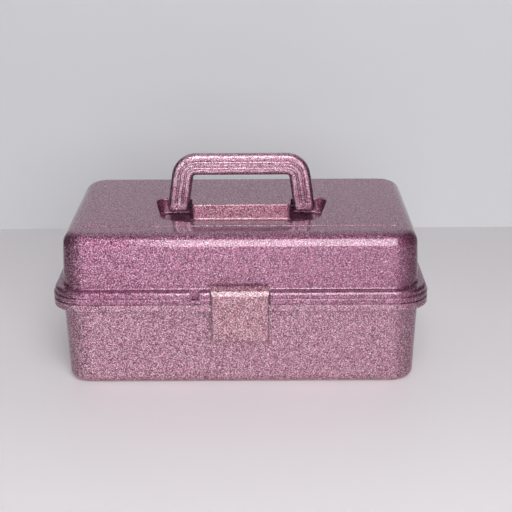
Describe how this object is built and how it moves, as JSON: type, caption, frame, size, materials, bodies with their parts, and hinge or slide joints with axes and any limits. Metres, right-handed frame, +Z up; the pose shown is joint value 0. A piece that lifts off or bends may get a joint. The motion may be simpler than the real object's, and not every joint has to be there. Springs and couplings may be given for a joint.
{
  "type": "hinged cosmetics case with cantilever trays",
  "caption": "Moulded plastic vanity case with a folding carry handle, front latch, padlock eye and trays that swing up with the lid.",
  "frame": {"origin": "middle of the walls' plan, on the underside of the base", "axes": "+X along the front from left to right as seen from the front, +Y from the front to the back, +Z up"},
  "size_m": [0.33, 0.2307, 0.184],
  "materials": {
    "shell_plastic": "moulded translucent plastic with fine glitter",
    "handle_plastic": "moulded translucent plastic with fine glitter",
    "tray_plastic": "moulded, satin",
    "link_plastic": "moulded, satin",
    "pin_steel": "drawn wire"
  },
  "bodies": {
    "base": {"base_shell": "shell_plastic", "hinge_pin_left": "pin_steel", "hinge_pin_right": "pin_steel", "arm_rivets": "pin_steel"},
    "lid": {"lid_shell": "shell_plastic", "lid_bracket_left": "link_plastic", "lid_bracket_right": "link_plastic", "bracket_screws_left": "pin_steel", "bracket_screws_right": "pin_steel", "handle_pin_left": "pin_steel", "handle_pin_right": "pin_steel", "latch_pin": "pin_steel"},
    "handle": {"carry_handle": "handle_plastic"},
    "latch": {"latch_plate": "shell_plastic"},
    "arm_left": {"front_arm_left": "link_plastic"},
    "arm_right": {"front_arm_right": "link_plastic"},
    "lower_tray": {"lower_tray": "tray_plastic", "lower_tray_dividers": "tray_plastic", "lower_tray_rivets": "pin_steel"},
    "upper_tray": {"upper_tray": "tray_plastic", "upper_tray_dividers": "tray_plastic", "upper_tray_rivets": "pin_steel"}
  },
  "joints": [
    {"name": "lid_hinge", "type": "hinge", "parent": "base", "child": "lid", "pos_m": [0, 0.114, 0.078], "axis": [-1, 0, 0], "range_deg": [0, 100]},
    {"name": "latch_hinge", "type": "hinge", "parent": "lid", "child": "latch", "pos_m": [0, -0.1068, 0.0896], "axis": [-1, 0, 0], "range_deg": [0, 35]},
    {"name": "handle_hinge", "type": "hinge", "parent": "lid", "child": "handle", "pos_m": [0, 0.008, 0.1334], "axis": [1, 0, 0], "range_deg": [0, 90]},
    {"name": "front_arm_left_pivot", "type": "hinge", "parent": "base", "child": "arm_left", "pos_m": [0, 0.036, 0.072], "axis": [-1, 0, 0], "range_deg": [0, 100]},
    {"name": "front_arm_right_pivot", "type": "hinge", "parent": "base", "child": "arm_right", "pos_m": [0, 0.036, 0.072], "axis": [-1, 0, 0], "range_deg": [0, 100]},
    {"name": "lower_tray_pivot", "type": "hinge", "parent": "arm_left", "child": "lower_tray", "pos_m": [0, -0.023, 0.069], "axis": [1, 0, 0], "range_deg": [0, 100]},
    {"name": "upper_tray_pivot", "type": "hinge", "parent": "arm_left", "child": "upper_tray", "pos_m": [0, -0.053, 0.086], "axis": [1, 0, 0], "range_deg": [0, 100]}
  ],
  "couplings": [
    {"joint": "front_arm_left_pivot", "follows": "lid_hinge", "ratio": 1},
    {"joint": "front_arm_right_pivot", "follows": "lid_hinge", "ratio": 1},
    {"joint": "lower_tray_pivot", "follows": "lid_hinge", "ratio": 1},
    {"joint": "upper_tray_pivot", "follows": "lid_hinge", "ratio": 1}
  ]
}
